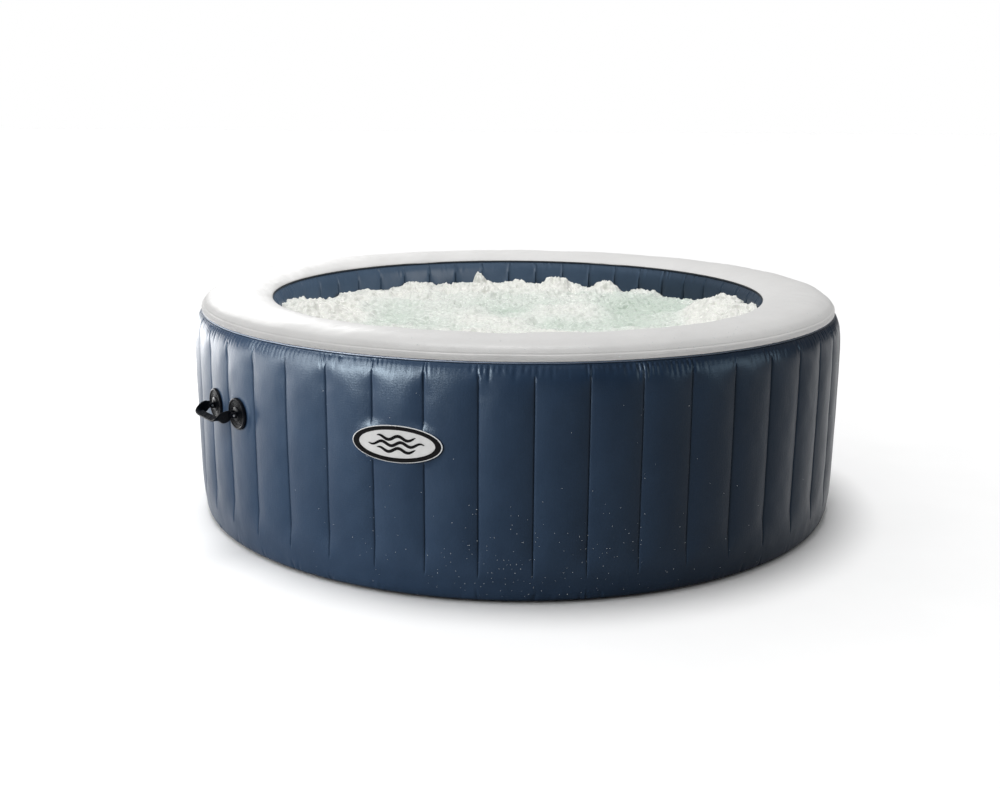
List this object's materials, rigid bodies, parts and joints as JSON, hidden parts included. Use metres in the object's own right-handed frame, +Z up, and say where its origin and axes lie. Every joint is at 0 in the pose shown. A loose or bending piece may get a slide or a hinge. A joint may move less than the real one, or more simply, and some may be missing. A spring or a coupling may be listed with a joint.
{
  "type": "inflatable hot tub",
  "caption": "Round inflatable hot tub with ribbed navy wall, white top ring, strap handles, valves and capped water ports.",
  "frame": {"origin": "centre of the ground face of the base sheet", "axes": "+Z up along the tub's axis; -Y towards the side with the badge, which faces the viewer; ports on the +Y side"},
  "size_m": [1.9634, 2.0147, 0.65],
  "materials": {
    "navy_laminate": "satin PVC laminate, fine woven grain",
    "liner": "satin PVC laminate",
    "white_laminate": "satin PVC laminate, fine woven grain",
    "piping": "matt welded PVC band",
    "base_laminate": "matt embossed PVC sheet",
    "web_fibre": "polyester fibre web",
    "channel": "satin PVC",
    "badge_black": "gloss",
    "badge_silver": "satin silver",
    "handle_black": "gloss moulded PVC",
    "pin_steel": "plain",
    "port_grey": "satin moulded",
    "seal_rubber": "matt",
    "cap_dark": "satin moulded",
    "pale_plastic": "satin moulded"
  },
  "bodies": {
    "tub": {"base_sheet": "base_laminate", "outer_wall": "navy_laminate", "inner_wall": "liner", "top_ring": "white_laminate", "outer_piping": "piping", "inner_piping": "piping", "tub_floor": "liner", "bubble_channel": "channel", "wall_web_01": "web_fibre", "wall_web_02": "web_fibre", "wall_web_03": "web_fibre", "wall_web_04": "web_fibre", "wall_web_05": "web_fibre", "wall_web_06": "web_fibre", "wall_web_07": "web_fibre", "wall_web_08": "web_fibre", "wall_web_09": "web_fibre", "wall_web_10": "web_fibre", "wall_web_11": "web_fibre", "wall_web_12": "web_fibre", "wall_web_13": "web_fibre", "wall_web_14": "web_fibre", "wall_web_15": "web_fibre", "wall_web_16": "web_fibre", "wall_web_17": "web_fibre", "wall_web_18": "web_fibre", "wall_web_19": "web_fibre", "wall_web_20": "web_fibre", "wall_web_21": "web_fibre", "wall_web_22": "web_fibre", "wall_web_23": "web_fibre", "badge_rim": "badge_black", "badge_face": "badge_silver", "handle_front_pad_left": "handle_black", "handle_front_pin_left": "pin_steel", "handle_front_pad_right": "handle_black", "handle_front_pin_right": "pin_steel", "handle_back_pad_left": "handle_black", "handle_back_pin_left": "pin_steel", "handle_back_pad_right": "handle_black", "handle_back_pin_right": "pin_steel", "outlet_coupling": "port_grey", "outlet_gasket": "seal_rubber", "inlet_coupling": "port_grey", "inlet_gasket": "seal_rubber", "air_port": "port_grey", "air_duct": "channel", "valve_body": "pale_plastic", "drain_body": "port_grey"},
    "front_grip": {"handle_front_grip": "handle_black"},
    "back_grip": {"handle_back_grip": "handle_black"},
    "outlet_cap": {"outlet_cap": "cap_dark"},
    "outlet_screen": {"outlet_screen": "pale_plastic"},
    "inlet_cap": {"inlet_cap": "cap_dark"},
    "inlet_screen": {"inlet_screen": "pale_plastic"},
    "air_cap": {"air_cap": "cap_dark"},
    "valve_cap": {"valve_cap": "pale_plastic"},
    "valve_flap": {"valve_flap": "seal_rubber"},
    "drain_cap": {"drain_cap": "cap_dark"},
    "drain_plug": {"drain_plug": "seal_rubber"}
  },
  "joints": [
    {"name": "front_grip_swing", "type": "hinge", "parent": "tub", "child": "front_grip", "pos_m": [-0.7897, -0.61294, 0.393], "axis": [0.6131, -0.79, 0], "range_deg": [-60, 55]},
    {"name": "back_grip_swing", "type": "hinge", "parent": "tub", "child": "back_grip", "pos_m": [0.7897, 0.61294, 0.393], "axis": [-0.6131, 0.79, 0], "range_deg": [-60, 55]},
    {"name": "outlet_cap_off", "type": "slide", "parent": "tub", "child": "outlet_cap", "axis": [0.1588, 0.9873, 0], "range_m": [0, 0.05]},
    {"name": "outlet_screen_off", "type": "slide", "parent": "tub", "child": "outlet_screen", "axis": [-0.1588, -0.9873, 0], "range_m": [0, 0.04]},
    {"name": "inlet_cap_off", "type": "slide", "parent": "tub", "child": "inlet_cap", "axis": [-0.3773, 0.9261, 0], "range_m": [0, 0.05]},
    {"name": "inlet_screen_off", "type": "slide", "parent": "tub", "child": "inlet_screen", "axis": [0.3773, -0.9261, 0], "range_m": [0, 0.04]},
    {"name": "air_cap_off", "type": "slide", "parent": "tub", "child": "air_cap", "axis": [-0.1134, 0.9935, 0], "range_m": [0, 0.035]},
    {"name": "valve_cap_off", "type": "slide", "parent": "tub", "child": "valve_cap", "axis": [0.4193, 0.9078, 0], "range_m": [0, 0.025]},
    {"name": "valve_flap_open", "type": "slide", "parent": "tub", "child": "valve_flap", "axis": [-0.4193, -0.9078, 0], "range_m": [0, 0.006], "stiffness_N_per_m": 60},
    {"name": "drain_cap_off", "type": "slide", "parent": "tub", "child": "drain_cap", "axis": [-0.6131, 0.79, 0], "range_m": [0, 0.03]},
    {"name": "drain_plug_out", "type": "slide", "parent": "tub", "child": "drain_plug", "axis": [0.6131, -0.79, 0], "range_m": [0, 0.04]}
  ]
}
